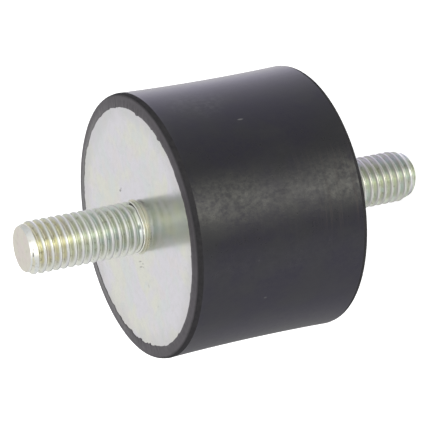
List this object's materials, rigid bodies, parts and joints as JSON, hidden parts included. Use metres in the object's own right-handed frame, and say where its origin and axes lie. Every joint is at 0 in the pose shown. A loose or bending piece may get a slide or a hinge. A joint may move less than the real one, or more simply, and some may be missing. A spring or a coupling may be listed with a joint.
{
  "type": "bobbin vibration mount",
  "caption": "Cylindrical rubber vibration mount with a bonded steel plate and a threaded stud at each end.",
  "frame": {"origin": "centre of the lower plate's outer (seating) face, on the axis of both studs", "axes": "+Z along the studs, from the lower plate to the upper plate; the part is round about Z, so X and Y are free"},
  "size_m": [0.05, 0.05, 0.081],
  "materials": {
    "rubber": "satin moulded natural rubber, faint flow and handling marks",
    "plate_zinc": "bright zinc plate, lightly clouded",
    "stud_zinc": "bright zinc plate with a faint yellow-green passivation"
  },
  "bodies": {
    "root": {"rubber_body": "rubber", "lower_plate": "plate_zinc", "upper_plate": "plate_zinc", "lower_stud": "stud_zinc", "upper_stud": "stud_zinc"}
  },
  "joints": []
}
